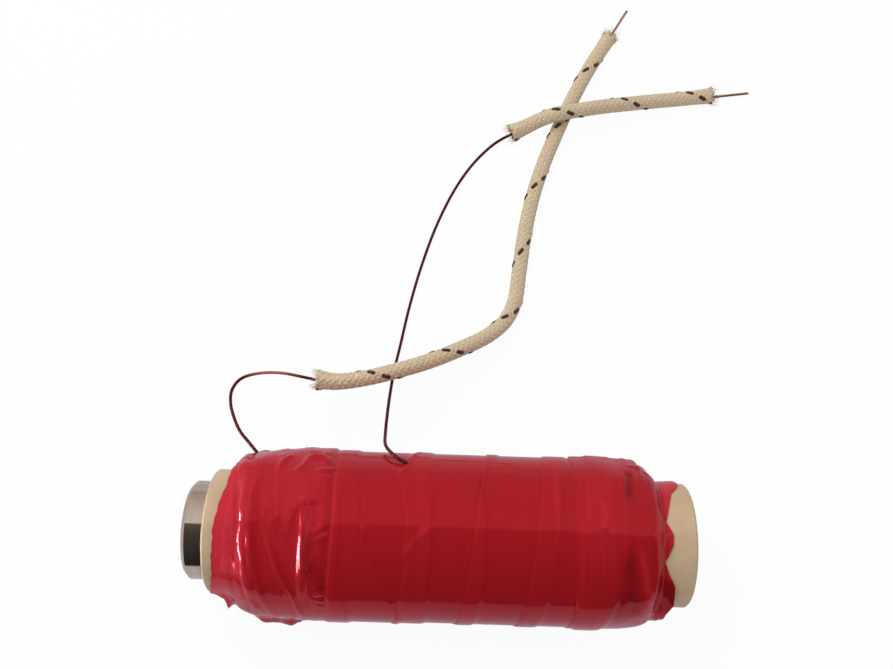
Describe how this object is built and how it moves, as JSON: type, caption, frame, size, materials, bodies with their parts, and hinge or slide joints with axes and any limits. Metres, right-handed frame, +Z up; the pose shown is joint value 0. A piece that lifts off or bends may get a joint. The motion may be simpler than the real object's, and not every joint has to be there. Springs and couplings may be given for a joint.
{
  "type": "solenoid coil",
  "caption": "Hand-wound demonstration solenoid: wire on a plastic tube under a red tape wrap, with a sliding round iron core and two sleeved flying leads.",
  "frame": {"origin": "on the table, under the middle of the coil's length", "axes": "+X along the coil's axis, from the end where the core stands out towards the other end; +Y towards the side where the leads come out; +Z up"},
  "size_m": [0.1278, 0.1591, 0.0354],
  "materials": {
    "former_pvc": "sawn cream plastic tube",
    "core_iron": "bright turned bar",
    "enamelled_copper": "dark red enamel",
    "red_tape": "glossy soft vinyl tape",
    "glass_sleeving": "woven cream sleeving with a dark tracer",
    "bare_copper": "stripped bright copper"
  },
  "bodies": {
    "former": {"former_tube": "former_pvc", "winding_layer_1": "enamelled_copper", "winding_layer_2": "enamelled_copper", "winding_layer_3": "enamelled_copper", "winding_layer_4": "enamelled_copper", "winding_layer_5": "enamelled_copper", "winding_layer_6": "enamelled_copper", "tape_wrap": "red_tape", "lead_a_wire": "enamelled_copper", "lead_a_sleeve": "glass_sleeving", "lead_a_bare_end": "bare_copper", "lead_b_wire": "enamelled_copper", "lead_b_sleeve": "glass_sleeving", "lead_b_bare_end": "bare_copper"},
    "core": {"iron_core": "core_iron"}
  },
  "joints": [
    {"name": "core_slide", "type": "slide", "parent": "former", "child": "core", "axis": [1, 0, 0], "range_m": [-0.075, 0.08]}
  ]
}
